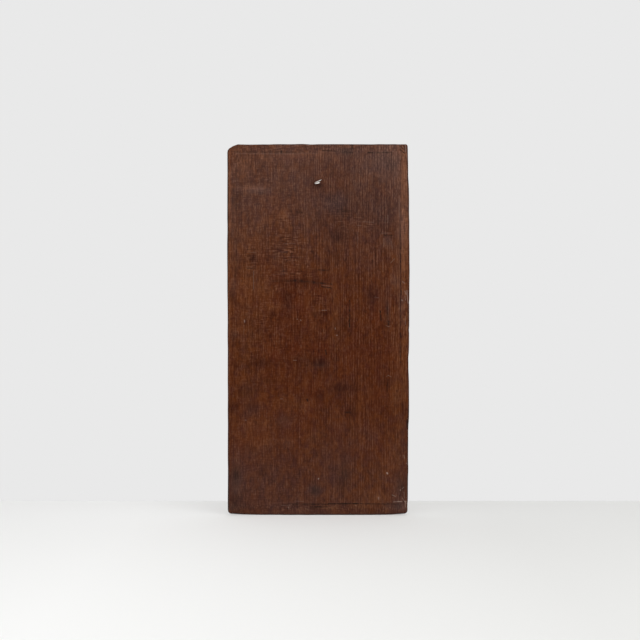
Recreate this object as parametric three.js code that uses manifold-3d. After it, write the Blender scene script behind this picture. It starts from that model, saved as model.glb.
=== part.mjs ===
// Linenfold panel: one oak board, plain and bevelled on the back, carved with a linenfold on the front.
// A small screw eye driven slantwise into the back, near the top, is what the panel hangs by.
// Millimetres. X runs to the right and Z up as the back is looked at, and Y goes away from the viewer,
// so the back faces -Y and the carving faces +Y. The origin is the middle of the eye's ring.

import * as THREE from "three";
import { mergeVertices } from "three/addons/utils/BufferGeometryUtils.js";
import Module from "manifold-3d";

// Board, measured from the ring's middle
const BOARD_HEIGHT = 520;
const EYE_BELOW_TOP = 55.4;
const EYE_FROM_LEFT = 125.7;
const EYE_PROUD = 8.7;
const GROUND_THICKNESS = 10;

// The right edge swells slowly below the top to a straight belly, and returns shortly below it
const WIDTH_AT_TOP = 252.3;
const WIDTH_AT_BELLY = 254.8;
const WIDTH_AT_FOOT = 252.8;
const BELLY_BELOW_TOP = 79;
const BELLY_LENGTH = 300;
const BELLY_RETURN = 24;

// Corners: the top left one is knocked off, the others are worn round
const CLIPPED_CORNER = { across: 12, down: 8 };
const TOP_CORNER_RADIUS = 2.5;
const FOOT_CORNER_RADIUS = 5;

// Margins thinned by a bevel on the back, so that the edges fit the grooves of a frame
const RIGHT_BEVEL = { width: 11.3, drop: 2.5 };
const TOP_BEVEL = { width: 12.2, drop: 2.5 };
const LEFT_BEVEL = { width: 4, drop: 1.5 };
const FOOT_BEVEL = { width: 14.4, drop: 2.5 };

// Linenfold, as heights over the ground: a middle rib, then a cove, a roll, a cove and a hem on each side
const RIB = { width: 9, crown: 10, spring: 5 };
const CREASE_WIDTH = 1.2;
const FOLD_EDGE_WIDTH = 1.5;
const INNER_COVE = { width: 19, low: 3.2, high: 9 };
const ROLL = { width: 26, crown: 9.6, spring: 3.8 };
const OUTER_COVE = { width: 27, low: 2.8, high: 8.4 };
const HEM_ROLL = { width: 12, crown: 4.4, spring: 2.4 };
const COVE_SWEEP = THREE.MathUtils.degToRad(72);
const CURVE_STEPS = 8;

// Ends of the cloth: the hem follows the folds, and a flat lower layer shows in the bays
const END_MARGIN = 22;
const HEM_STRETCH = 2.6;
const LOWER_LAYER_THICKNESS = 2;
const LOWER_LAYER_REACH = 13;
const LOWER_LAYER_WAVE = 0.65;

// Screw eye: the ring's plane leans sideways and tips off the line of sight, the shank runs off it aslant,
// and the end of the ring has stepped a little aside from the shank
const WIRE_RADIUS = 0.72;
const RING_RADIUS = 3.5;
const RING_LEAN = THREE.MathUtils.degToRad(13);
const RING_TIP = THREE.MathUtils.degToRad(19);
const SHANK_TURN = THREE.MathUtils.degToRad(41);
const RING_SWEEP = THREE.MathUtils.degToRad(294);
const RING_STEP = 0.5;
const SHANK_LENGTH = 17;
const POINT_LENGTH = 3;
const POINT_OVERLAP = 0.3;
const HOLE_CLEARANCE = 0.3;
const WIRE_SIDES = 10;
const WIRE_STEPS = 44;

// How far cutters pass beyond what they cut, and how far joined forms sink into each other
const OVERRUN = 5;
const SINK = 2;

const topZ = EYE_BELOW_TOP;
const footZ = EYE_BELOW_TOP - BOARD_HEIGHT;
const leftX = -EYE_FROM_LEFT;
const bellyX = leftX + WIDTH_AT_BELLY;
const backY = EYE_PROUD;
const groundY = backY + GROUND_THICKNESS;

const wasm = await Module();
wasm.setup();

// A closed three.js geometry as a solid that can be cut and joined
function solidOf(geometry) {
  const bare = new THREE.BufferGeometry();
  bare.setAttribute("position", geometry.getAttribute("position"));
  bare.setIndex(geometry.index);
  const merged = mergeVertices(bare, 1e-4);
  return new wasm.Manifold(
    new wasm.Mesh({
      numProp: 3,
      vertProperties: merged.attributes.position.array,
      triVerts: new Uint32Array(merged.index.array),
    }),
  );
}

function geometryOf(solid) {
  const mesh = solid.getMesh();
  const geometry = new THREE.BufferGeometry();
  geometry.setAttribute("position", new THREE.BufferAttribute(mesh.vertProperties, 3));
  geometry.setIndex(new THREE.BufferAttribute(mesh.triVerts, 1));
  const flat = geometry.toNonIndexed();
  flat.computeVertexNormals();
  return flat;
}

// A front view outline, drawn in X and Z, as a slab between two depths
function slab(shape, nearY, farY) {
  const geometry = new THREE.ExtrudeGeometry(shape, { depth: farY - nearY, bevelEnabled: false });
  return solidOf(geometry.rotateX(Math.PI / 2).translate(0, farY, 0));
}

// A cross-section, drawn in X and Y, as a bar between two heights
function bar(shape, lowZ, highZ) {
  const geometry = new THREE.ExtrudeGeometry(shape, { depth: highZ - lowZ, bevelEnabled: false });
  return solidOf(geometry.translate(0, 0, lowZ));
}

function boardOutline() {
  const topRight = leftX + WIDTH_AT_TOP;
  const footRight = leftX + WIDTH_AT_FOOT;
  const bellyTop = topZ - BELLY_BELOW_TOP;
  const bellyFoot = bellyTop - BELLY_LENGTH;
  const shape = new THREE.Shape();
  shape.moveTo(leftX + FOOT_CORNER_RADIUS, footZ);
  shape.lineTo(footRight - FOOT_CORNER_RADIUS, footZ);
  shape.quadraticCurveTo(footRight, footZ, footRight, footZ + FOOT_CORNER_RADIUS);
  shape.lineTo(footRight, bellyFoot - BELLY_RETURN);
  shape.lineTo(bellyX, bellyFoot);
  shape.lineTo(bellyX, bellyTop);
  shape.lineTo(topRight, topZ - TOP_CORNER_RADIUS);
  shape.quadraticCurveTo(topRight, topZ, topRight - TOP_CORNER_RADIUS, topZ);
  shape.lineTo(leftX + CLIPPED_CORNER.across, topZ);
  shape.lineTo(leftX, topZ - CLIPPED_CORNER.down);
  shape.lineTo(leftX, footZ + FOOT_CORNER_RADIUS);
  shape.quadraticCurveTo(leftX, footZ, leftX + FOOT_CORNER_RADIUS, footZ);
  return shape;
}

// Wedge that thins one margin: reach runs from the origin out to that edge, turn is about Y from the right
function bevelCutter({ width, drop }, reach, turn) {
  const inner = reach - width;
  const outer = reach + OVERRUN;
  const shape = new THREE.Shape();
  shape.moveTo(inner, backY);
  shape.lineTo(inner, backY - OVERRUN);
  shape.lineTo(outer, backY - OVERRUN);
  shape.lineTo(outer, backY + (drop * (outer - inner)) / width);
  const length = 2 * BOARD_HEIGHT;
  const geometry = new THREE.ExtrudeGeometry(shape, { depth: length, bevelEnabled: false });
  return solidOf(geometry.translate(0, 0, -length / 2).rotateY(turn));
}

// Mouldings of the cloth: each gives, for a share of its sweep, the share of its width and its height
const rib = ({ crown, spring }) => (share) => {
  const angle = (share * Math.PI) / 2;
  return [Math.sin(angle), spring + (crown - spring) * Math.cos(angle)];
};
const roll = ({ crown, spring }) => (share) => {
  const angle = share * Math.PI;
  return [(1 - Math.cos(angle)) / 2, spring + (crown - spring) * Math.sin(angle)];
};
const cove = ({ low, high }) => (share) => {
  const angle = share * COVE_SWEEP;
  const rise = (1 - Math.cos(angle)) / (1 - Math.cos(COVE_SWEEP));
  return [Math.sin(angle) / Math.sin(COVE_SWEEP), low + (high - low) * rise];
};

// Points [x, height] across half the cloth, from the middle of the rib out to the ground beside the hem
function halfSection() {
  const runs = [
    { form: rib(RIB), width: RIB.width, gap: CREASE_WIDTH },
    { form: cove(INNER_COVE), width: INNER_COVE.width, gap: FOLD_EDGE_WIDTH },
    { form: roll(ROLL), width: ROLL.width, gap: CREASE_WIDTH },
    { form: cove(OUTER_COVE), width: OUTER_COVE.width, gap: FOLD_EDGE_WIDTH },
    { form: roll(HEM_ROLL), width: HEM_ROLL.width, gap: FOLD_EDGE_WIDTH },
  ];
  const points = [];
  let x = 0;
  for (const { form, width, gap } of runs) {
    for (let step = 0; step <= CURVE_STEPS; step += 1) {
      const [across, height] = form(step / CURVE_STEPS);
      points.push([x + width * across, height]);
    }
    x += width + gap;
  }
  points.push([x, 0]);
  return points;
}

// The carved cloth: its section run up the board, trimmed to the hems, over a thin lower layer
function linen() {
  const half = halfSection();
  const middleX = (leftX + bellyX) / 2;
  const mirrored = half.slice(1).reverse().map(([x, height]) => [-x, height]);
  const across = [...mirrored, ...half].map(([x, height]) => [middleX + x, height]);
  const [firstX] = across[0];
  const [lastX] = across[across.length - 1];

  const section = new THREE.Shape();
  section.moveTo(lastX, groundY - SINK);
  for (const [x, height] of [...across].reverse()) section.lineTo(x, groundY + height);
  section.lineTo(firstX, groundY - SINK);

  const topHem = topZ - END_MARGIN - HEM_STRETCH * RIB.crown;
  const footHem = footZ + END_MARGIN + HEM_STRETCH * RIB.crown;
  const hemmed = (points, reach, stretch) => {
    const shape = new THREE.Shape();
    const top = points.map(([x, height]) => [x, topHem + reach + stretch * height]);
    const foot = points.map(([x, height]) => [x, footHem - reach - stretch * height]);
    const outline = [...foot, ...top.reverse()];
    shape.moveTo(...outline[0]);
    for (const point of outline.slice(1)) shape.lineTo(...point);
    return shape;
  };

  const folds = bar(section, footZ, topZ).intersect(
    slab(hemmed(across, 0, HEM_STRETCH), groundY - SINK - OVERRUN, groundY + RIB.crown + OVERRUN),
  );
  const inside = across.slice(CURVE_STEPS, -CURVE_STEPS);
  const lowerLayer = slab(
    hemmed(inside, LOWER_LAYER_REACH, LOWER_LAYER_WAVE),
    groundY - SINK,
    groundY + LOWER_LAYER_THICKNESS,
  );
  return folds.add(lowerLayer);
}

// The eye is drawn flat, X along the ring's long way and Y towards the viewer, then set in its tipped plane
function eyePlane() {
  const along = new THREE.Vector3(Math.cos(RING_LEAN), 0, Math.sin(RING_LEAN));
  const above = new THREE.Vector3(-Math.sin(RING_LEAN), 0, Math.cos(RING_LEAN));
  const nearer = new THREE.Vector3(0, -Math.cos(RING_TIP), 0).addScaledVector(above, -Math.sin(RING_TIP));
  const normal = new THREE.Vector3().crossVectors(along, nearer);
  return new THREE.Matrix4().makeBasis(along, nearer, normal);
}

const shankDirection = new THREE.Vector3(Math.cos(SHANK_TURN), -Math.sin(SHANK_TURN), 0);
const shankMeetsRing = new THREE.Vector3(-Math.sin(SHANK_TURN), -Math.cos(SHANK_TURN), 0)
  .multiplyScalar(RING_RADIUS);

// The bent wire's middle line: up the shank to the ring, then round it until it meets the shank again
class EyeWire extends THREE.Curve {
  getPoint(share, target = new THREE.Vector3()) {
    const travelled = share * (SHANK_LENGTH + RING_RADIUS * RING_SWEEP);
    if (travelled < SHANK_LENGTH) {
      return target.copy(shankMeetsRing).addScaledVector(shankDirection, SHANK_LENGTH - travelled);
    }
    const turned = (travelled - SHANK_LENGTH) / RING_RADIUS;
    const angle = Math.atan2(shankMeetsRing.y, shankMeetsRing.x) - turned;
    const aside = (RING_STEP * turned) / RING_SWEEP;
    return target.set(RING_RADIUS * Math.cos(angle), RING_RADIUS * Math.sin(angle), aside);
  }
}

// A round rod along the shank's line, from a distance past the ring out to another
function shankRod(nearRadius, farRadius, from, to, sides) {
  const rod = new THREE.CylinderGeometry(farRadius, nearRadius, to - from, sides);
  const turn = new THREE.Quaternion().setFromUnitVectors(new THREE.Vector3(0, 1, 0), shankDirection);
  const middle = shankMeetsRing.clone().addScaledVector(shankDirection, (from + to) / 2);
  rod.applyQuaternion(turn).translate(middle.x, middle.y, middle.z);
  return rod;
}

function screwEye() {
  const round = new THREE.Shape().absarc(0, 0, WIRE_RADIUS, 0, 2 * Math.PI);
  const wire = new THREE.ExtrudeGeometry(round, {
    curveSegments: WIRE_SIDES,
    steps: WIRE_STEPS,
    extrudePath: new EyeWire(),
  });
  const pointEnd = SHANK_LENGTH + POINT_LENGTH;
  const point = shankRod(WIRE_RADIUS, 0, SHANK_LENGTH - POINT_OVERLAP, pointEnd, WIRE_SIDES);
  return solidOf(wire.applyMatrix4(eyePlane())).add(solidOf(point.applyMatrix4(eyePlane())));
}

// Blind hole that the shank sits in
function eyeHole() {
  const radius = WIRE_RADIUS + HOLE_CLEARANCE;
  const end = SHANK_LENGTH + POINT_LENGTH + HOLE_CLEARANCE;
  return solidOf(shankRod(radius, radius, 0, end, 2 * WIRE_SIDES).applyMatrix4(eyePlane()));
}

function oakPanel() {
  const quarter = Math.PI / 2;
  return slab(boardOutline(), backY, groundY)
    .subtract(bevelCutter(RIGHT_BEVEL, bellyX, 0))
    .subtract(bevelCutter(TOP_BEVEL, topZ, -quarter))
    .subtract(bevelCutter(LEFT_BEVEL, -leftX, 2 * quarter))
    .subtract(bevelCutter(FOOT_BEVEL, -footZ, quarter))
    .add(linen())
    .subtract(eyeHole());
}

const oak = new THREE.MeshStandardMaterial({ color: 0x502f21, roughness: 0.65, metalness: 0 });
const platedSteel = new THREE.MeshStandardMaterial({ color: 0xcfc8c0, roughness: 0.35, metalness: 1 });

const panel = new THREE.Mesh(geometryOf(oakPanel()), oak);
panel.name = "oak_panel";
const eye = new THREE.Mesh(geometryOf(screwEye()), platedSteel);
eye.name = "screw_eye";

const linenfoldPanel = new THREE.Group();
linenfoldPanel.add(panel, eye);

export default linenfoldPanel;
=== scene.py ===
"""Linenfold panel: an old oak board with its plain, worn back to the camera and a small screw eye in it.

Outline, margins, tool marks, scratches and stains follow what shows. The carved front is a traditional
linenfold. Lengths are millimetres, and meshes turn into metres as they are made.
"""

import math

import bpy
import numpy as np
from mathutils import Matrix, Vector

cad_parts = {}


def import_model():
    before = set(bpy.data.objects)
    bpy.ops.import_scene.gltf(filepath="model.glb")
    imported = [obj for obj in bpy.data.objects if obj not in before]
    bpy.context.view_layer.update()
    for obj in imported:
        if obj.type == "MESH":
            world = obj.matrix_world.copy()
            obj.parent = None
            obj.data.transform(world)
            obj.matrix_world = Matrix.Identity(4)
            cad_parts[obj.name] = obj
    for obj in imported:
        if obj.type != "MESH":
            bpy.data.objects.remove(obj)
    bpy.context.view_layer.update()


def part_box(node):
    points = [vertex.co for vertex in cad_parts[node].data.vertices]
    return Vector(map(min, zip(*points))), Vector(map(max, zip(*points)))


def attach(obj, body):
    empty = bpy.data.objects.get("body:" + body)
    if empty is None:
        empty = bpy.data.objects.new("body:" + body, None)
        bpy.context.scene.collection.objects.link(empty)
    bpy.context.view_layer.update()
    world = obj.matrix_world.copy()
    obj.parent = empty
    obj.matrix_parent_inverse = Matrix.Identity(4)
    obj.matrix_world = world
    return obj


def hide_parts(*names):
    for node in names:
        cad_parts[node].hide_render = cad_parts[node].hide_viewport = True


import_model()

MM = 0.001
SEED = 1541

# The board, from the frame
board_low, board_high = (np.array(corner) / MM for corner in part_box("oak_panel"))
left_x, back_y, foot_z = board_low
right_x, crown_y, top_z = board_high

# Outline: the right edge swells between straighter ends. Its points are the distance below the top and how
# far inside the widest place it lies
RIGHT_EDGE = (
    (0, 2.5), (45, 1.6), (64, 0.7), (110, 0.1), (170, -0.2), (235, 0.2), (390, 0.6), (402, 1.8), (520, 2.2),
)
# The clipped corner: its bend says how round it is, and 1 would be a straight cut
CLIPPED_CORNER = {"across": 15, "down": 12, "bend": 2.5}
TOP_CORNER_RADIUS = 3
FOOT_CORNER_RADIUS = 5.5
FOOT_SAG = 1.8
LEFT_LEAN = 0.8
EDGE_WAVE = 0.22
EDGE_EASE = 26

# Nicks in the right edge and dents in the top edge: place along the edge, depth, half length
RIGHT_NICKS = (
    (311, 0.9, 20), (299, 0.4, 5), (222, 0.4, 3), (260, 0.4, 3), (392, 0.5, 6), (456, -0.35, 9),
    (508, 0.6, 8),
)
TOP_DENTS = ((4, 0.5, 9), (33, 0.5, 22), (59, 0.4, 6), (118, 0.5, 7), (199, 0.5, 11), (243, 0.3, 6))

# Margins thinned by a bevel on the back, with a small step at its inner line
RIGHT_BEVEL = {"width": 11.3, "drop": 2.5}
TOP_BEVEL = {"width": 12.2, "drop": 2.5}
LEFT_BEVEL = {"width": 4, "drop": 1.5}
FOOT_BEVEL = {"width": 14.4, "drop": 2.5}
BEVEL_STEP = 0.4
BACK_ARRIS = 1
FRONT_ARRIS = 0.9

# Linenfold, as heights over the ground: a middle rib, then a cove, a roll, a cove and a hem on each side
RIB = {"width": 9, "crown": 10, "spring": 5, "gap": 1.2}
INNER_COVE = {"width": 19, "low": 3.2, "high": 9, "gap": 1.5}
ROLL = {"width": 26, "crown": 9.6, "spring": 3.8, "gap": 1.2}
OUTER_COVE = {"width": 27, "low": 2.8, "high": 8.4, "gap": 1.5}
HEM_ROLL = {"width": 12, "crown": 4.4, "spring": 2.4, "gap": 1.5}
COVE_SWEEP = math.radians(72)
CURVE_STEPS = 24
END_MARGIN = 22
HEM_STRETCH = 2.6
LAYER_THICKNESS = 2
LAYER_REACH = 13
LAYER_WAVE = 0.65
LAYER_INSET = 12.5
WALL = 0.6
HEM_LINE = {"inside": 6, "half_width": 0.8, "depth": 0.7}
WEAR = 0.7
HOLLOW_REACH = 2.5
BESIDE_CLOTH = (18, 2)

ground_y = crown_y - RIB["crown"]
middle_x = (left_x + right_x) / 2
top_hem = top_z - END_MARGIN - HEM_STRETCH * RIB["crown"]
foot_hem = foot_z + END_MARGIN + HEM_STRETCH * RIB["crown"]

# Mesh: distances of the first lines from an edge, longest steps, rows for each band of a cloth end, and the
# sharp edges' least angle in degrees
EDGE_LINES = (0, 0.15, 0.4, 0.8, 1.3, 2, 3)
NEAR_LINE = 0.4
COLUMN_STEP = 1.75
ROW_STEP = 2.95
RIM_SHARES = (0.2, 0.5, 0.8)
RIM_ROUGHNESS = 0.18
LAYER_END_ROWS = 18
WALL_ROWS = 2
LAYER_ROWS = 5
HEM_BAND_ROWS = 11
HEM_BAND = 9
BOARD_CREASE = 42

# Screw eye: the ring leans sideways and tips off the line of sight, and the shank runs off it aslant
WIRE_RADIUS = 0.72
RING_RADIUS = 3.5
RING_LEAN = math.radians(13)
RING_TIP = math.radians(19)
SHANK_TURN = math.radians(41)
RING_SWEEP = math.radians(294)
RING_STEP = 0.5
SHANK_LENGTH = 17
POINT_LENGTH = 3
PLAIN_SHANK = 10
THREAD = {"pitch": 1.2, "height": 0.2, "core": 0.82}
WIRE_SIDES = 24
WIRE_STEP = 0.16

# Soft patches on the back, by strength: place from the left edge and below the top, half width and height
PATCH_STRENGTH = 1.75
STAINS = {
    0.1: [(101, 266, 14, 13), (242, 118, 4, 7), (200, 92, 24, 30)], 0.11: [(222, 108, 17, 30)],
    0.12: [(196, 183, 6, 7), (97, 255, 9, 22), (172, 71, 10, 10)], 0.14: [(244, 151, 4, 9)],
    0.15: [
        (48, 127, 6, 6), (111, 35, 7, 7), (144, 75, 6, 6), (8, 118, 4, 14), (28, 174, 7, 6),
        (244, 226, 5, 9), (216, 321, 6, 8), (182, 282, 6, 16), (162, 282, 5, 6), (118, 308, 26, 12),
        (42, 268, 12, 14),
    ],
    0.16: [(150, 96, 30, 32)], 0.18: [(82, 384, 7, 6), (80, 350, 7, 6), (77, 63, 6, 6)],
    0.2: [
        (9, 274, 6, 10), (240, 506, 8, 5), (27, 228, 7, 7), (27, 252, 7, 7), (159, 267, 6, 6),
        (8, 220, 4, 6), (70, 157, 6, 5), (210, 52, 10, 6), (121, 111, 9, 7), (231, 29, 8, 9),
    ],
    0.22: [(33, 430, 8, 6)],
    0.25: [
        (110, 356, 10, 6), (13, 80, 7, 14), (246, 370, 4, 12), (55, 160, 3, 11), (137, 170, 8, 11),
        (134, 321, 7, 7), (100, 302, 12, 7),
    ],
    0.28: [(153, 254, 6, 7)],
    0.3: [(164, 94, 7, 4), (26, 346, 15, 9), (168, 10, 8, 8), (153, 156, 8, 9), (159, 483, 7, 10)],
    0.35: [
        (6, 210, 4, 10), (165, 253, 6, 7), (223, 240, 4, 17), (7, 370, 7, 10), (49, 460, 6, 8),
        (163, 462, 8, 16), (11, 502, 10, 17), (124, 510, 10, 4), (221, 333, 7, 9), (35, 369, 9, 7),
    ],
    0.36: [(108, 192, 36, 6)],
    0.4: [
        (101, 95, 6, 4), (84, 214, 8, 14), (49, 306, 22, 6), (129, 353, 7, 6), (57, 332, 8, 4),
        (245, 481, 7, 17), (127, 58, 9, 4),
    ],
    0.42: [(154, 132, 10, 9), (203, 212, 8, 13), (175, 376, 7, 8)],
    0.45: [(64, 239, 6, 4), (123, 485, 8, 8)],
    0.5: [(131, 306, 9, 6), (159, 342, 15, 8), (12, 463, 7, 13), (134, 238, 11, 3)],
    0.55: [(36, 160, 6, 6)],
}
BLOOMS = {
    0.1: [(39, 370, 13, 8), (100, 18, 60, 10)], 0.12: [(155, 401, 14, 20)],
    0.2: [(155, 83, 13, 15), (172, 71, 8, 8), (84, 417, 8, 8), (8, 100, 6, 56)],
    0.3: [(78, 179, 6, 6), (9, 266, 6, 8), (69, 161, 7, 7)], 0.35: [(130, 311, 11, 4), (236, 40, 9, 40)],
    0.4: [
        (219, 50, 8, 6), (233, 192, 6, 12), (243, 125, 6, 34), (8, 509, 8, 5), (214, 23, 22, 22),
        (8, 202, 5, 14), (165, 462, 9, 20), (80, 387, 13, 10), (225, 230, 4, 25),
    ],
    0.5: [(226, 509, 10, 6), (243, 225, 5, 30), (13, 471, 8, 28), (123, 485, 9, 9)],
    0.55: [(43, 65, 19, 6)], 0.6: [(223, 139, 6, 8), (167, 11, 13, 7), (242, 482, 10, 20)],
    0.8: [(245, 508, 10, 6)],
}
PALE_PATCHES = {
    0.02: [(25, 261, 6, 112), (230, 30, 16, 26)],
    0.03: [(8, 466, 5, 7), (216, 220, 5, 22), (128, 20, 40, 8)],
    0.04: [
        (22, 210, 26, 75), (74, 100, 14, 17), (40, 326, 10, 7), (126, 3.4, 110, 2), (28, 350, 14, 7),
        (198, 347, 7, 7), (224, 245, 6, 7), (137, 14, 8, 4), (190, 25, 7, 5), (138, 11, 9, 5),
        (149, 40, 7, 7), (86, 118, 8, 7), (100, 172, 7, 6), (214, 179, 7, 8), (40, 272, 9, 6),
        (84, 417, 8, 7), (117, 413, 8, 8), (58, 416, 7, 7), (159, 99, 7, 7), (44, 239, 7, 6),
        (122, 255, 8, 7), (109, 153, 7, 6), (110, 221, 8, 8), (214, 193, 6, 7), (56, 207, 6, 6),
        (72, 143, 6, 5), (53, 22, 7, 5), (69, 277, 6, 6), (86, 19, 8, 5), (42, 426, 16, 9),
        (112, 118, 5, 35), (210, 460, 8, 16), (48, 157, 7, 8),
    ],
    0.05: [
        (247, 508, 6, 4), (8, 508, 8, 6), (36, 398, 16, 26), (92, 364, 30, 8), (179, 396, 8, 18),
        (151, 219, 6, 56), (245, 60, 4, 14), (234, 152, 6, 20), (192, 508, 12, 5), (75, 56, 7, 7),
        (53, 107, 8, 8), (12, 169, 5, 8), (54, 392, 8, 8), (53, 450, 8, 8), (121, 237, 7, 5),
        (243, 396, 5, 10), (56, 141, 6, 5), (29, 68, 7, 4), (123, 509, 7, 4), (184, 367, 7, 7),
        (19, 139, 8, 12), (167, 122, 7, 8), (176, 237, 5, 8), (11, 387, 5, 8), (57, 83, 11, 3),
        (43, 122, 8, 16), (232, 430, 8, 34), (235, 192, 5, 14), (219, 50, 7, 6), (182, 19, 7, 6),
        (236, 286, 6, 20), (96, 185, 10, 5), (66, 206, 7, 8), (63, 230, 5, 4),
    ],
    0.06: [(127, 406, 8, 7), (179, 506, 8, 5), (62, 228, 9, 5), (50, 20, 8, 9), (12, 8, 6, 5)],
    0.065: [(43, 198, 13, 18)], 0.07: [(211, 496, 8, 6), (235, 350, 6, 26)],
    0.08: [(91, 15.5, 34, 3), (198, 494, 10, 10), (24, 30, 12, 20)], 0.11: [(243.5, 114, 5, 28)],
    0.12: [(102, 513, 6, 3)], 0.14: [(37, 62, 15, 3)], 0.16: [(145, 510, 9, 4), (245, 7, 4, 6)],
}
RED_PATCHES = {
    0.3: [(39, 128, 6, 7), (63, 121, 8, 7), (193, 396, 7, 7)], 0.35: [(129, 198, 20, 17)],
    0.4: [
        (102, 222, 20, 17), (210, 236, 8, 17), (230, 442, 6, 24), (91, 339, 14, 14), (120, 255, 9, 8),
        (197, 290, 7, 10), (96, 185, 9, 6), (132, 241, 7, 6),
    ],
    0.5: [
        (67, 278, 3, 8), (175, 230, 6, 11), (232, 290, 8, 20), (48, 157, 8, 9), (12, 105, 5, 10),
        (40, 326, 10, 7),
    ],
    0.6: [
        (98, 286, 10, 7), (125, 288, 14, 9), (91, 296, 7, 4), (183, 386, 7, 17), (92, 175, 8, 16),
        (151, 402, 8, 9),
    ],
    0.7: [(132, 288, 10, 8), (91, 185, 22, 6)], 0.8: [(132, 301, 8, 6), (182, 278, 7, 18)],
    0.9: [(67, 297, 6, 7)], 1: [(86, 19, 18, 6)],
}
# Black marks round the screw eye, from the ring's middle: the ring's painted shadow below and round it,
# with the black stains the screw eye has left in the oak
EYE_SHADOW_AND_IRON_STAINS = {
    0.1: [(2.5, -2.6, 4, 3)], 0.25: [(-1, 1, 8, 5)], 0.9: [(0.8, -1.4, 4, 1.6)], 1: [(2.4, -1.5, 1.8, 1.4)],
}
COOL_PATCHES = {
    0.12: [(160, 440, 12, 22)],
    0.2: [
        (100, 62, 50, 34), (162, 502, 9, 8), (218, 217, 7, 12), (30, 84, 20, 12), (185, 150, 30, 24),
        (201, 171, 12, 14),
    ],
    0.25: [
        (215, 25, 30, 22), (62, 470, 58, 38), (86, 230, 8, 8), (204, 408, 12, 14), (173, 424, 9, 12),
        (38, 372, 13, 10),
    ],
    0.3: [(30, 436, 12, 8), (28, 376, 9, 12), (150, 468, 11, 30), (246, 420, 7, 26), (137, 440, 9, 28)],
    0.32: [(165, 18, 46, 24), (10, 480, 14, 42)],
    0.35: [(32, 342, 12, 7), (80, 508, 90, 9), (203, 214, 8, 12), (226, 36, 12, 14)],
    0.4: [(150, 130, 11, 9), (123, 485, 10, 9), (159, 342, 14, 8), (131, 306, 10, 6)],
    0.42: [(215, 92, 26, 34)], 0.5: [(242, 505, 12, 14)], 0.75: [(150, 84, 20, 17)],
}
# Places where tools have left fine marks across the grain
CROSS_CUTS = {
    0.3: [(25, 68, 26, 16)], 0.35: [(50, 240, 20, 30)], 0.4: [(70, 100, 30, 20)], 0.5: [(130, 215, 16, 22)],
    0.6: [(150, 92, 16, 12)], 0.7: [(179, 110, 30, 13), (126, 5, 120, 6)],
    0.8: [(101, 181, 18, 7), (105, 510, 60, 6)], 0.9: [(248, 100, 6, 55)],
    1: [(82, 150, 24, 24), (33, 161, 10, 17)],
}
# Flaked places along the right margin, and the size of a flake
FLAKES = {
    0.12: [(238, 236, 6, 34)], 0.14: [(248, 175, 6, 26)], 0.3: [(247.5, 98, 5.5, 14), (247, 232, 7, 36)],
}
FLAKE_SIZE = (3.2, 3.6)
# Waves of the back: depth each way, width and height of the lumps, and seed
BACK_WAVES = ((0.12, 24, 420, 13), (0.1, 46, 70, 14), (0.05, 3, 60, 15), (0.04, 5, 8, 16))
# Tool marks: chatter near the left, and the hatched top right corner; where, and how flat in the middle
CHATTER = {"spot": (85, 155, 36, 30, 3), "pitch": 4.4, "depth": 0.14}
HATCH = {"spot": (248, 7, 7, 7, 4), "pitch": 2.8, "depth": 0.35}

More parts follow.
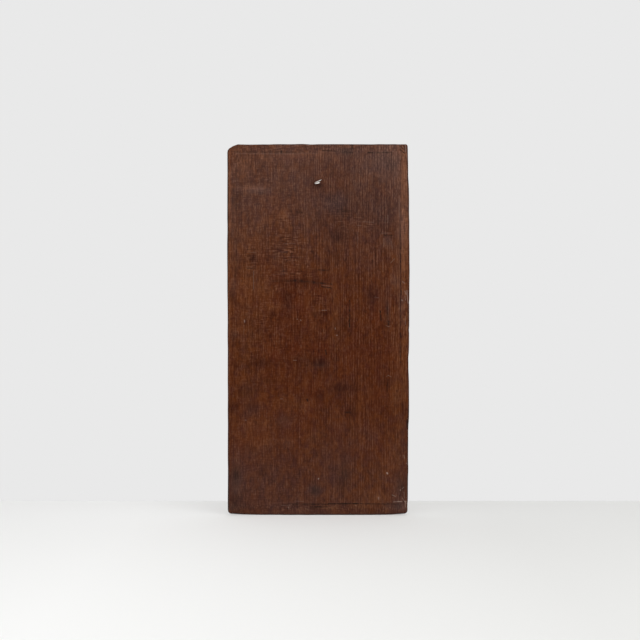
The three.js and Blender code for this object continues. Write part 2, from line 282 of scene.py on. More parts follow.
# Fine lines on the back: places of both ends from the left edge and below the top, half width and strength
DARK_LINES = (
    # Right bevel line
    (243.7, 13, 243.7, 48, 0.9, 0.3), (242.2, 109, 242.2, 165, 1.3, 0.7),
    (242.2, 165, 242.7, 205, 1.2, 0.75), (242, 206, 242.5, 255, 1.2, 0.65),
    (242.3, 258, 242.3, 306, 1.2, 0.6),
    # Top bevel line
    (10, 11.6, 102, 12, 2.6, 0.3), (133, 9.5, 152.5, 10, 1.8, 0.55), (159, 11, 175, 12.5, 2, 0.5),
    (196, 12.5, 218, 12.5, 1.8, 0.8), (218, 12, 231, 12, 1.6, 0.7), (75.5, 9.5, 75.5, 13, 1.6, 0.9),
    (175, 1, 175, 6, 1.6, 0.9),
    # Foot bevel line
    (75, 504, 92, 504, 0.9, 0.4), (92, 504, 141, 504.5, 1.6, 0.62), (141, 504, 183, 503.5, 1.4, 0.95),
    (183, 503.7, 239, 504.2, 1.1, 0.75), (117, 508, 140, 508.5, 1.6, 0.8),
    # Hatched corner
    (242, 8.5, 248.1, 13.1, 1.3, 0.9), (242.6, 3.4, 248.6, 9.4, 1.2, 0.8), (246.2, 2, 248.6, 5.2, 1.1, 0.7),
    # Slit
    (130, 195, 145.5, 196.5, 1.3, 0.6), (131.5, 200, 145.5, 202, 1.1, 0.85),
    # Long scratch
    (62, 192, 96, 191.5, 3, 0.3), (92, 191.5, 127.5, 195, 3.4, 0.35), (102, 191, 147, 197, 2.2, 0.25),
    # Cuts
    (220.5, 128, 230.5, 128.5, 1.8, 0.65), (127.5, 176.5, 141.5, 177.5, 1.9, 0.5),
    (85.5, 159, 105, 159, 1.1, 0.4), (28, 174.5, 38, 174.5, 1.2, 0.5), (28, 148, 40, 148, 1.2, 0.35),
    (58, 113, 73, 113, 1.4, 0.25), (66, 137, 92, 137, 1.2, 0.2), (70, 146, 96, 146.5, 1.2, 0.25),
    (161, 94, 173.5, 94, 1.8, 0.45), (96.5, 95.5, 105, 96.5, 2, 0.38), (137.5, 289, 138.5, 294.5, 1.7, 0.9),
    # The dark dot 225.5 from the left and 249 to 253 below the top is painted shade in the upper side of a
    # pit
    (111.5, 357.5, 112.5, 360, 1.8, 0.9), (165, 376, 172, 376, 2.4, 0.6), (225.5, 249, 225.5, 253, 2, 0.75),
    (225, 329.5, 223.5, 347.5, 1.2, 0.45), (214, 234, 215, 247, 1.7, 0.8), (171, 219, 171, 256.5, 1.3, 0.9),
    (223, 223, 225, 244, 1.8, 0.35),
    # Left margin
    (1.2, 20, 1.2, 150, 1.1, 0.6), (7.5, 10, 7.5, 101, 0.8, 0.2), (13, 86, 12, 193, 1.3, 0.3),
    # Chipped edge; the dark line low on the right edge is a dark chipped facet with painted shade in its
    # notch
    (252.5, 226, 253, 254, 0.8, 0.5), (252, 381, 252, 398, 1.5, 0.95), (243.3, 206, 243.8, 211, 1.4, 0.9),
)
PALE_LINES = (
    # Slit
    (131.5, 197.7, 144, 199.2, 0.8, 0.2),
    # Hatched corner
    (249.6, 2, 249.6, 11, 1.2, 0.4),
    # Below the top bevel
    (12, 13.8, 100, 14.2, 1.3, 0.1), (100, 13.6, 128, 13.4, 1.2, 0.07),
    # Mark at the right
    (215.5, 125, 229.5, 125, 0.7, 0.2), (219, 132, 219, 143, 0.7, 0.25),
    (229.5, 136, 230.5, 146, 0.7, 0.18), (229, 166, 234, 161, 1, 0.25),
    # Chatter
    (78, 139.5, 95, 139.5, 1, 0.12), (74, 151.5, 84, 151.5, 1, 0.12), (85, 163, 98, 163, 1, 0.1),
    (88, 181, 103.5, 181, 0.8, 0.06), (97.5, 135.5, 100, 144, 0.9, 0.07), (28, 152, 40, 152, 1.2, 0.1),
    (27, 172, 36, 172, 1.2, 0.08), (62, 183, 84, 182, 1, 0.06), (100, 147, 106, 147, 1, 0.06),
    # Fine upright
    (36.7, 178, 36.7, 203.5, 0.8, 0.2), (182, 123.5, 182, 146, 0.8, 0.12), (221, 100, 221, 111, 0.7, 0.15),
    (224.5, 100, 224.5, 111, 0.7, 0.3), (240.5, 73, 240.5, 102, 1.1, 0.18),
    # Fine level
    (189.5, 109, 204.5, 110, 0.9, 0.16), (182, 114.5, 187, 114.5, 1, 0.15),
    (206, 214.5, 212, 215.5, 0.8, 0.15), (132.5, 233, 138.5, 233, 1, 0.32),
    (92.5, 303, 96.5, 303, 0.8, 0.3), (74, 357, 77.5, 357, 0.8, 0.28), (75.5, 506, 88, 506, 0.7, 0.2),
    (96.5, 500, 106.5, 500.5, 1, 0.12),
    # Specks
    (24, 247, 24, 249.5, 1.3, 0.5), (97.5, 245.5, 98, 245.5, 1, 0.4), (102.5, 246.5, 103, 247.5, 1, 0.4),
    (151, 257.5, 151, 259.5, 0.9, 0.5), (153, 268, 153.5, 268, 1.1, 0.65), (25, 386.5, 26, 387, 1.4, 0.22),
    (127.5, 468.5, 127.5, 469, 1.5, 0.65), (223.5, 460.5, 224, 461.5, 1.7, 1),
    (211.5, 495, 211.5, 497, 1.7, 0.38), (179.5, 506, 180, 506.5, 1.4, 0.33),
    (242, 484.5, 242, 485, 1.3, 0.6), (85.5, 508.5, 86, 510, 1.1, 0.35),
    # Pits: their pale crescents are a painted highlight on rims of pits that the mesh does not hollow
    (222, 254.5, 225.5, 256, 0.8, 0.24), (225.5, 256, 229, 254.5, 0.8, 0.14),
    (222.5, 326, 225.5, 324, 0.8, 0.18), (225.5, 324, 229.5, 326.5, 0.8, 0.22),
    # Foot corner
    (232.5, 501, 243.5, 500.5, 1, 0.42), (238.5, 500.5, 244.5, 501, 1.1, 0.35),
    (248, 501, 252, 500.5, 1.1, 0.35), (231, 491.5, 235, 493.5, 1.1, 0.4),
    (245, 482.5, 247, 480.5, 0.8, 0.35), (247, 487.5, 248, 496, 0.8, 0.3),
    (249, 500, 249.5, 508.5, 1, 0.45), (244.5, 495.5, 250.5, 503.5, 0.8, 0.35),
    # Chipped edge
    (251.5, 205, 252.5, 223, 1, 0.6), (244, 218.5, 245, 219.5, 1.4, 0.5),
    (248.5, 206, 250, 210.5, 1.3, 0.45), (248.5, 213, 249.5, 219, 0.8, 0.4), (245, 193, 248, 195, 1.4, 0.3),
    (249, 241, 249.5, 252.5, 0.8, 0.3), (247, 436, 248, 440, 1.1, 0.3), (250.5, 447, 252, 448.5, 1, 0.35),
)
# How much the lines waver, how deep below the back they show, and what makes a dot a short line
LINE_SHAKE = 0.9
LINE_DEPTH = 5
LEAST_LENGTH = 0.01

# Camera: where the board's outline lies in the picture, and the distance to the rim behind it
PICTURE_PIXELS = 640
BOARD_LEFT_PIXEL = 227.5
BOARD_TOP_PIXEL = 144.05
BOARD_PIXELS_TALL = 371
RIM_BEHIND_BACK = 3.5
CAMERA_DISTANCE = 1800
SENSOR_WIDTH = 36
VIEW_RANGE = (0.05, 50)
FLOOR_LINE_PIXEL = 501
FLOOR_REACH = 2500
FLOOR_FALL = 0.17
FLOOR_LIP = {"length": 6, "drop": 1.2}
LIGHT_TARGET = Vector((0, 0.01, -0.2))


def noise(x, z, wide, tall, seed):
    """Smooth random field from -1 to 1, with lumps about wide by tall millimetres."""
    u, v = (x - left_x) / wide + 2, (z - foot_z) / tall + 2
    count = (int((top_z - foot_z) / tall) + 6, int((right_x - left_x) / wide) + 6)
    lattice = np.random.default_rng(SEED + seed).uniform(-1, 1, count)
    column, row = np.floor(u).astype(int), np.floor(v).astype(int)
    across, up = ease(u - column, 0, 1), ease(v - row, 0, 1)
    low = lattice[row, column] * (1 - across) + lattice[row, column + 1] * across
    high = lattice[row + 1, column] * (1 - across) + lattice[row + 1, column + 1] * across
    return low * (1 - up) + high * up


def ease(value, start, end):
    """0 before start, 1 after end, and smooth between; start may be the larger."""
    share = np.clip((value - start) / (end - start), 0, 1)
    return share * share * (3 - 2 * share)


def bell(distance, half_width):
    return np.exp(-((distance / half_width) ** 2))


def rounding(distance, radius):
    """How far a round corner or arris falls away, at a distance inside its edge."""
    rest = np.clip(radius - distance, 0, radius)
    return radius - np.sqrt(np.maximum(radius**2 - rest**2, 0))


def spot(x, z, at_x, at_z, half_width, half_height, power=2):
    """1 at its middle and fading to 0 around it; a higher power makes it flatter."""
    aside = np.abs((x - at_x) / half_width)
    above = np.abs((z - at_z) / half_height)
    return np.exp(-(aside**power) - above**power)


def patches(across, down, table):
    """The strengths of a table of soft patches, added up."""
    spots = ((strength, row) for strength, rows in table.items() for row in rows)
    return sum(strength * spot(across, down, *row) for strength, row in spots)


# Outline of the board

def dents(along, table):
    return sum(depth * bell(along - place, half_length) for place, depth, half_length in table)


def left_edge(z):
    left_to_clip = np.clip(1 - (top_z - z) / CLIPPED_CORNER["down"], 0, 1)
    clip = CLIPPED_CORNER["across"] * left_to_clip ** CLIPPED_CORNER["bend"]
    foot = rounding(z - foot_z, FOOT_CORNER_RADIUS)
    wave = EDGE_WAVE * noise(0 * z + left_x, z, 100, 21, 1)
    return left_x + clip + foot + wave + LEFT_LEAN * ease(top_z - z, 110, 380) - EDGE_WAVE


def right_edge(z):
    down = top_z - z
    inset = np.interp(down, *zip(*RIGHT_EDGE)) + dents(down, RIGHT_NICKS)
    inset = inset + rounding(z - foot_z, FOOT_CORNER_RADIUS) + rounding(down, TOP_CORNER_RADIUS)
    return right_x + EDGE_WAVE - inset + EDGE_WAVE * noise(0 * z + right_x, z, 100, 17, 2)


def top_edge(x):
    return top_z - dents(x - left_x, TOP_DENTS) + EDGE_WAVE * noise(x, 0 * x + top_z, 15, 100, 3)


def foot_edge(x):
    across = (x - middle_x) / (right_x - left_x) * 2
    return foot_z + FOOT_SAG * across**4 + 0.1 * (1 + noise(x, 0 * x + foot_z, 22, 100, 4))


# Grid lines, shared by the back and the front so that both meet the rim at the same points

def filled(places, step):
    """The given places in order, with even ones between so that none is over a step apart."""
    places = np.unique(np.round(places, 4))
    parts = [
        np.linspace(start, end, max(1, math.ceil((end - start) / step)), endpoint=False)
        for start, end in zip(places, places[1:])
    ]
    return np.append(np.concatenate(parts), places[-1])


def fold_runs():
    return ((rib, RIB), (cove, INNER_COVE), (roll, ROLL), (cove, OUTER_COVE), (roll, HEM_ROLL))


def grid_places(low, high, lines, step):
    """Places from edge to edge, closest near the edges and beside the given lines."""
    edges = [low + line for line in EDGE_LINES] + [high - line for line in EDGE_LINES]
    return filled(edges + [line + near for line in lines for near in (-NEAR_LINE, 0, NEAR_LINE)], step)


def grid_columns():
    lines = [left_x + LEFT_BEVEL["width"], right_x - RIGHT_BEVEL["width"]]
    x = 0
    for _, sizes in fold_runs():
        for place in (x + sizes["width"], x + sizes["width"] + sizes["gap"]):
            lines += [middle_x - place, middle_x + place]
        x += sizes["width"] + sizes["gap"]
    return grid_places(left_x, right_x, lines, COLUMN_STEP)


def grid_rows():
    lines = [foot_z + FOOT_BEVEL["width"], top_z - TOP_BEVEL["width"]]
    return grid_places(foot_z, top_z, lines, ROW_STEP)


def fit_to_outline(x, z):
    """The grid drawn in or out near the edges, so that its border is the outline."""
    left, right, top, foot = left_edge(z), right_edge(z), top_edge(x), foot_edge(x)
    fitted_x = x + (left - left_x) * ease(x, left_x + EDGE_EASE, left_x)
    fitted_x += (right - right_x) * ease(x, right_x - EDGE_EASE, right_x)
    fitted_z = z + (top - top_z) * ease(z, top_z - EDGE_EASE, top_z)
    fitted_z += (foot - foot_z) * ease(z, foot_z + EDGE_EASE, foot_z)
    gaps = [fitted_x - left, right - fitted_x, top - fitted_z, fitted_z - foot]
    return fitted_x, fitted_z, np.maximum(np.minimum.reduce(gaps), 0)


# The plain back

def bevels(x, z):
    """Each bevel with the distance outside the board there, and how clear its inner line is."""
    across, down = x - left_x, top_z - z
    right_clear = 0.25 + 0.75 * ease(down, 284, 244) * ease(down, 84, 124)
    top_clear = 0.3 + 0.4 * spot(across, down, 208, 12, 14, 30)
    foot_clear = 0.15 + 0.85 * ease(across, 66, 81) * (1 - 0.5 * ease(across, 182, 190))
    return (
        (RIGHT_BEVEL, x - right_x, right_clear), (LEFT_BEVEL, left_x - x, 0.1),
        (TOP_BEVEL, z - top_z, top_clear), (FOOT_BEVEL, foot_z - z, foot_clear),
    )


def bevel_relief(x, z):
    """Depth of the margins below the back, with a small step down at their inner lines."""
    depth = 0 * x
    for sizes, outside, clear in bevels(x, z):
        share = 1 + outside / sizes["width"]
        slope = sizes["drop"] * np.clip(share, 0, 1)
        step = BEVEL_STEP * clear * ease(share * sizes["width"], -0.5, 0.3) * ease(share, 0.9, 0.3)
        depth = np.maximum(depth, slope + step)
    return depth


def back_surface(x, z, inside):
    """Depth behind the flat back, and the paint that goes with it."""
    across, down = x - left_x, top_z - z
    depth = bevel_relief(x, z) + rounding(inside, BACK_ARRIS * (1 + 0.4 * noise(x, z, 14, 14, 12)))
    depth = depth + sum(size * (1 + noise(x, z, *lumps)) for size, *lumps in BACK_WAVES)
    dark = PATCH_STRENGTH * patches(across, down, STAINS)
    pale = PATCH_STRENGTH * patches(across, down, PALE_PATCHES) + margin_wear_and_highlight(x, z)

    chatter = spot(across, down, *CHATTER["spot"])
    ripple = np.sin(2 * math.pi * z / CHATTER["pitch"] + 3 * noise(x, z, 16, 12, 17))
    depth = depth + CHATTER["depth"] * chatter * (1 + ripple)
    pale = pale - 0.12 * chatter * ripple * (0.5 + 0.5 * noise(x, z, 9, 6, 18))

    turn = 2 * math.pi / HATCH["pitch"]
    lines = 0.5 + 0.5 * np.sin(turn * (x + z)) * np.sin(turn * (x - z))
    hatch = spot(across, down, *HATCH["spot"]) * lines
    depth = depth + HATCH["depth"] * hatch
    dark = dark + 0.35 * hatch

    entry = eye_point(shank_exit())
    torn = spot(x, z, entry[0], entry[2], 2, 2)
    depth = depth + 0.6 * torn
    # Dark line of dirt inside the outline, with painted shade along the edges and a painted contact shadow
    # at the foot; it is added to the grey veil too, so that this dark stays grey
    edge_grime_and_shade = outline_grime_and_shade(x, z, inside)
    # The screw eye's painted shadow and its iron stains darken the wood round the ring
    dark = dark + 0.6 * torn + edge_grime_and_shade + patches(x, z, EYE_SHADOW_AND_IRON_STAINS)
    cut = patches(across, down, CROSS_CUTS) * (0.6 + 0.6 * noise(x, z, 7, 7, 24))
    paint = {"dark": dark, "pale": pale, "cut": cut, "cool": patches(across, down, COOL_PATCHES)}
    haze_and_sheen = back_haze_and_sheen(x, z) + edge_grime_and_shade
    return depth, {**paint, "warm": back_warmth(x, z), "haze_and_sheen": haze_and_sheen, "grain": back_grain(x, z)}


def outline_grime_and_shade(x, z, inside):
    """The dark line just inside the outline, stronger towards the foot: dirt with painted shade along the
    edges, and a painted contact shadow at the very foot.
    """
    down = top_z - z
    at_side = ease(x, left_x + 3, left_x) + ease(x, right_x - 4, right_x - 1)
    strength = 0.45 + 0.4 * at_side + 0.2 * noise(x, z, 12, 12, 19)
    strength = strength + 0.3 * ease(down, 434, 520) + 0.7 * ease(down, 514, 519)
    return strength * bell(inside, 1.6 - 0.7 * ease(down, 6, 3))


def margin_wear_and_highlight(x, z):
    """The paler right margin above the middle, a strip inside it, the left arris, and flakes; on the right
    bevel and the left arris the pale is wear with a painted highlight.
    """
    across, down = x - left_x, top_z - z
    right = ease(across, 242.5, 244.5) * (0.45 * ease(down, 205, 140) + 0.55 * ease(down, 372, 345))
    right = right * (0.85 + 0.5 * noise(x, z, 2.4, 24, 21)) * (1 - 0.25 * ease(across, 247, 252))
    right = right * (1 - 0.8 * ease(down, 14, 8))
    left = ease(across, 5.4, 2.6) * ease(across, 0.8, 1.6) * ease(down, 4, 12)
    left = left * (0.55 * ease(down, 170, 90) + 0.6 * ease(down, 430, 300))
    left = left * (0.9 + 0.5 * noise(x, z, 3, 14, 25))
    inner = ease(across, 236.5, 238.5) * ease(across, 241.8, 240.4) * ease(down, 372, 345)
    inner = inner * (0.6 + 0.4 * ease(down, 55, 30) + 0.4 * ease(down, 100, 130))
    inner = inner * (0.8 + 0.6 * noise(x, z, 3, 15, 27))
    flakes = patches(across, down, FLAKES) * noise(x, z, *FLAKE_SIZE, 26)
    return 0.26 * right + 0.4 * left + 0.09 * inner + flakes


def back_grain(x, z):
    """How strongly the fine grain shows: most at the top right, least in the lower half."""
    across, down = x - left_x, top_z - z
    top_right = ease(across, 150, 230) * ease(down, 140, 60)
    foot_right = spot(across, down, 225, 505, 60, 22)
    upper = 0.62 + 0.2 * top_right + 0.1 * ease(down, 110, 60)
    return upper - 0.17 * ease(down, 265, 345) + 0.15 * foot_right


def back_warmth(x, z):
    """Where the wood is redder: the middle of the board, patches in it, and the left margin."""
    across, down = x - left_x, top_z - z
    middle = ease(down, 484, 384) * ease(down, 114, 224)
    left = ease(across, 7, 4) * ease(down, 380, 300)
    return 0.4 * middle + patches(across, down, RED_PATCHES) + 0.6 * left + 0.3 * noise(x, z, 30, 44, 22)


def back_haze_and_sheen(x, z):
    """A grey veil that dulls the upper part, a little the foot, and some patches: over the upper part it is
    a painted sheen of the light from above, elsewhere grey bloom.
    """
    across, down = x - left_x, top_z - z
    upper = ease(down, 225, 5)
    foot = 0.42 * ease(down, 354, 514)
    spread = (upper + foot) * (0.85 + 0.35 * noise(x, z, 38, 52, 23))
    spread = spread * (1 - 0.5 * ease(across, 7, 4))
    spread = spread * (1 - 0.4 * ease(across, 241, 244) * ease(down, 90, 50))
    return 0.75 * spread + 0.6 * PATCH_STRENGTH * patches(across, down, BLOOMS)


# The carved front: each moulding gives places across its width and heights over the ground

def rib(share, sizes):
    angle = share * math.pi / 2
    return np.sin(angle), sizes["spring"] + (sizes["crown"] - sizes["spring"]) * np.cos(angle)


def roll(share, sizes):
    angle = share * math.pi
    return (1 - np.cos(angle)) / 2, sizes["spring"] + (sizes["crown"] - sizes["spring"]) * np.sin(angle)


def cove(share, sizes):
    angle = share * COVE_SWEEP
    rise = (1 - np.cos(angle)) / (1 - math.cos(COVE_SWEEP))
    return np.sin(angle) / math.sin(COVE_SWEEP), sizes["low"] + (sizes["high"] - sizes["low"]) * rise


def half_section():
    """Places out from the middle and heights, over half the cloth, ending on the ground."""
    share = np.linspace(0, 1, CURVE_STEPS + 1)
    places, heights = [], []
    x = 0
    for form, sizes in fold_runs():
        across, height = form(share, sizes)
        places.append(x + sizes["width"] * across)
        heights.append(height)
        x += sizes["width"] + sizes["gap"]
    return np.append(np.concatenate(places), x), np.append(np.concatenate(heights), 0)


SECTION = half_section()
half_cloth = SECTION[0][-1]


def worn_section(x):
    """Height of the folds at a place, with their arrises worn round."""
    shifts = np.linspace(-WEAR, WEAR, 5)
    return sum(np.interp(np.abs(x + shift - middle_x), *SECTION, right=0) for shift in shifts) / len(shifts)


def cloth_ends(x):
    """How far the hem and the lower layer's end reach past the hem line, and where there is a layer."""
    height = worn_section(x)
    inside = ease(np.abs(x - middle_x), half_cloth - LAYER_INSET, half_cloth - LAYER_INSET - 1)
    hem = HEM_STRETCH * height
    layer = (LAYER_REACH + LAYER_WAVE * height) * inside
    return hem, np.maximum(layer, hem + 2 * WALL), inside


def front_rows(columns, rows):
    """Heights of the front's grid lines, which follow the hems in the cloth and run level beside it."""
    hem, layer, _ = cloth_ends(columns)
    bands = [len(EDGE_LINES) - 1, LAYER_END_ROWS, WALL_ROWS, LAYER_ROWS, WALL_ROWS, HEM_BAND_ROWS]
    counts = np.cumsum(bands)
    level = 0 * columns
    past_hem_line = [layer + WALL, layer, hem + WALL, hem, hem - HEM_BAND]
    keys = [rows[counts[0]] + level, *(foot_hem - past for past in past_hem_line)]
    keys += [*(top_hem + past for past in reversed(past_hem_line)), rows[-1 - counts[0]] + level]
    last = len(rows) - 1
    indexes = list(counts) + [last - count for count in reversed(counts)]
    z = np.repeat(rows[:, None], len(columns), axis=1)
    weight = ease(np.abs(columns - middle_x) - half_cloth, *BESIDE_CLOTH)
    for (start, low), (end, high) in zip(zip(indexes, keys), zip(indexes[1:], keys[1:])):
        share = (np.arange(start, end + 1) - start)[:, None] / (end - start)
        keyed = low * (1 - share) + high * share
        z[start:end + 1] = rows[start:end + 1, None] * (1 - weight) + keyed * weight
    return z


def front_surface(x, z, inside):
    """Height over the ground, and the paint that goes with it."""
    drift = 0.3 * noise(x, z, 300, 130, 31)
    folds = worn_section(x + drift) + 0.12 * noise(x, z, 7, 42, 32) + 0.1 * noise(x, z, 20, 90, 33)
    hem, layer, layer_inside = cloth_ends(x)
    past_hem_line = np.maximum(z - top_hem, foot_hem - z)
    past_hem, past_layer = past_hem_line - hem, past_hem_line - layer
    in_cloth = ease(past_hem, WALL, 0) * (np.abs(x - middle_x) < half_cloth)
    in_layer = ease(past_layer, WALL, 0) * layer_inside
    line = bell(past_hem + HEM_LINE["inside"], HEM_LINE["half_width"]) * in_cloth
    ground = 0.12 * noise(x, z, 9, 12, 34) + 0.08 * noise(x, z, 4, 5, 35)
    base = ground + in_layer * LAYER_THICKNESS
    height = base * (1 - in_cloth) + (folds - HEM_LINE["depth"] * line) * in_cloth
    height = height - rounding(inside, FRONT_ARRIS * (1 + 0.3 * noise(x, z, 11, 11, 36)))

    # Painted shade darkens the hollows of the folds, the ground beside the hems and the hem lines; the
    # crests are paler from wear and from a painted highlight
    around = (worn_section(x - HOLLOW_REACH) + worn_section(x + HOLLOW_REACH)) / 2
    hollow = around - worn_section(x)
    beside_hem = bell(np.maximum(past_hem, 0), HOLLOW_REACH) * (1 - in_cloth)
    dark = in_cloth * np.clip(hollow * 0.6, 0, 0.8) + 0.6 * (beside_hem + line) + 0.35 * bell(inside, 1.6)
    dark = dark + 0.2 * np.clip(noise(x, z, 26, 60, 37), 0, 1)
    worn_and_lit_crests = in_cloth * (0.1 + np.clip(-hollow * 0.4, 0, 0.6))
    pale = worn_and_lit_crests * (0.7 + 0.5 * noise(x, z, 8, 36, 38))
    warm = 0.45 + 0.35 * noise(x, z, 34, 80, 39)
    haze_and_sheen = 0.2 + 0.2 * noise(x, z, 40, 60, 40)
    paint = {"dark": dark, "pale": pale, "warm": warm, "haze_and_sheen": haze_and_sheen}
    return height, {**paint, "cut": 0 * x, "cool": 0 * x, "grain": 0 * x + 0.4}


# Meshes

def add_to_scene(name, data, place=(0, 0, 0), turn=(0, 0, 0)):
    made = bpy.data.objects.new(name, data)
    made.location = place
    made.rotation_euler = turn
    bpy.context.scene.collection.objects.link(made)
    return made


def make_object(name, vertices, faces, material, crease_degrees):
    """An object from points in millimetres, shaded smooth but for edges sharper than a crease."""
    mesh = bpy.data.meshes.new(name)
    mesh.from_pydata((vertices * MM).tolist(), [], faces)
    mesh.validate()
    mesh.polygons.foreach_set("use_smooth", np.ones(len(mesh.polygons), bool))
    mesh.set_sharp_from_angle(angle=math.radians(crease_degrees))
    mesh.materials.append(material)
    return add_to_scene(name, mesh)


def grid_faces(index):
    """Quads of a grid of vertex numbers, facing the viewer of the back."""
    corners = [index[:-1, :-1], index[:-1, 1:], index[1:, 1:], index[1:, :-1]]
    return np.stack(corners, axis=-1).reshape(-1, 4)


def border(index):
    """Vertex numbers round a grid: along the foot, up the right, back along the top and down."""
    return np.concatenate([index[0, :-1], index[:-1, -1], index[-1, :0:-1], index[:0:-1, 0]])


def bridge(inner, outer):
    """Quads between two loops of equal length."""
    return np.stack([inner, outer, np.roll(outer, -1), np.roll(inner, -1)], axis=-1)


def rim_loops(back, front):
    """Loops of points between the back's border and the front's, sawn a little uneven."""
    ahead = np.roll(front, -1, axis=0) - np.roll(front, 1, axis=0)
    outward = np.stack([ahead[:, 2], 0 * ahead[:, 0], -ahead[:, 0]], axis=-1)
    outward /= np.linalg.norm(outward, axis=1)[:, None]
    loops = []
    for number, share in enumerate(RIM_SHARES):
        loop = back * (1 - share) + front * share
        rough = noise(loop[:, 0], loop[:, 2], 5, 5, 50 + number)
        loops.append(loop + outward * (RIM_ROUGHNESS * (rough - 0.4))[:, None])
    return loops


def face_points(x, z, surface, level):
    """Points of the board's back or front over the grid, and their paint."""
    x, z, inside = fit_to_outline(x, z)
    height, paint = surface(x, z, inside)
    return np.stack([x, level + height, z], axis=-1).reshape(-1, 3), paint


def oak_panel(material):
    columns, rows = grid_columns(), grid_rows()
    x, z = np.meshgrid(columns, rows)
    back, back_paint = face_points(x, z, back_surface, back_y)
    front, front_paint = face_points(x, front_rows(columns, rows), front_surface, ground_y)

    back_index = np.arange(x.size).reshape(x.shape)
    front_index = back_index + x.size
    back_border, front_border = border(back_index), border(front_index)
    rim = rim_loops(back[back_border], front[front_border - x.size])
    rim_index = 2 * x.size + np.arange(len(rim) * len(back_border)).reshape(len(rim), -1)
    loops = [back_border, *rim_index, front_border]
    faces = [grid_faces(back_index), grid_faces(front_index)[:, ::-1]]
    faces += [bridge(near, far) for near, far in zip(loops, loops[1:])]
    points = np.concatenate([back, front, *rim])
    panel = make_object("carved_oak_board", points, np.concatenate(faces).tolist(), material, BOARD_CREASE)

    rim_paint = {"dark": 0.4, "pale": 0.05, "warm": 0.3, "haze_and_sheen": 0.3, "cut": 0.3, "cool": 0, "grain": 0.7}
    for name, rim_value in rim_paint.items():
        rim_values = np.full(len(rim) * len(back_border), rim_value)
        values = np.concatenate([back_paint[name].ravel(), front_paint[name].ravel(), rim_values])
        attribute = panel.data.attributes.new(name, "FLOAT", "POINT")
        attribute.data.foreach_set("value", np.clip(values, 0, 1).astype(np.float32))
    return panel


# Screw eye: its middle line is drawn in the ring's plane, from the shank's end to the ring's

def eye_axes():
    along = np.array([math.cos(RING_LEAN), 0, math.sin(RING_LEAN)])
    above = np.array([-math.sin(RING_LEAN), 0, math.cos(RING_LEAN)])
    nearer = np.array([0, -math.cos(RING_TIP), 0]) - math.sin(RING_TIP) * above
    return np.array([along, nearer, np.cross(along, nearer)])


def eye_point(travelled):
    """The wire's middle line at a length travelled from the shank's far end towards the ring."""
    start = np.array([-math.sin(SHANK_TURN), -math.cos(SHANK_TURN), 0]) * RING_RADIUS
    if travelled < SHANK_LENGTH:
        direction = np.array([math.cos(SHANK_TURN), -math.sin(SHANK_TURN), 0])
        return (start + direction * (SHANK_LENGTH - travelled)) @ eye_axes()
    turned = (travelled - SHANK_LENGTH) / RING_RADIUS
    angle = math.atan2(start[1], start[0]) - turned
    aside = RING_STEP * turned / RING_SWEEP
    return np.array([RING_RADIUS * math.cos(angle), RING_RADIUS * math.sin(angle), aside]) @ eye_axes()


def shank_exit():
    """Length travelled at which the shank's middle line comes out of the wood."""
    inner, outer = eye_point(0)[1], eye_point(SHANK_LENGTH - WIRE_STEP)[1]
    return (SHANK_LENGTH - WIRE_STEP) * (inner - back_y) / (inner - outer)


def wire_radius(travelled, end, angles):
    """Radius round the wire: a point, a thread in the wood, then plain wire with a rounded end."""
    thread_end = SHANK_LENGTH - PLAIN_SHANK
    if travelled < 0:
        return 0 * angles + WIRE_RADIUS * THREAD["core"] * max(0.04, 1 + travelled / POINT_LENGTH)
    ahead = end - travelled
    if ahead < WIRE_RADIUS:
        return 0 * angles + WIRE_RADIUS * math.sqrt(max(0.01, 1 - (1 - ahead / WIRE_RADIUS) ** 2))
    threaded = 1 - ease(travelled, thread_end - 1, thread_end)
    ridge = np.clip(np.cos(angles - 2 * math.pi * travelled / THREAD["pitch"]), 0, 1) ** 2
    core = WIRE_RADIUS * (1 - (1 - THREAD["core"]) * threaded)
    return core + THREAD["height"] * threaded * ridge


def screw_eye(material):
    end = SHANK_LENGTH + RING_RADIUS * RING_SWEEP + WIRE_RADIUS / 2
    lengths = np.append(np.arange(-POINT_LENGTH, end, WIRE_STEP), end)
    angles = np.linspace(0, 2 * math.pi, WIRE_SIDES, endpoint=False)
    side = eye_axes()[2]
    rings = []
    for travelled in lengths:
        middle = eye_point(travelled)
        ahead = eye_point(travelled + WIRE_STEP / 2) - eye_point(travelled - WIRE_STEP / 2)
        ahead /= np.linalg.norm(ahead)
        across = np.cross(side, ahead)
        across /= np.linalg.norm(across)
        up = np.cross(ahead, across)
        radius = wire_radius(travelled, end, angles)[:, None]
        rings.append(middle + radius * (np.cos(angles)[:, None] * across + np.sin(angles)[:, None] * up))
    vertices = np.concatenate([*rings, [eye_point(lengths[0])], [eye_point(end)]])
    index = np.arange(len(lengths) * WIRE_SIDES).reshape(len(lengths), WIRE_SIDES)
    faces = np.concatenate([bridge(near, far)[:, ::-1] for near, far in zip(index, index[1:])])
    caps = []
    for ring, tip, turn in ((index[0], len(vertices) - 2, -1), (index[-1], len(vertices) - 1, 1)):
        caps += [(tip, *pair[::turn]) for pair in zip(ring.tolist(), np.roll(ring, -1).tolist())]
    return make_object("screw_eye_wire", vertices, faces.tolist() + caps, material, 180)


# Materials

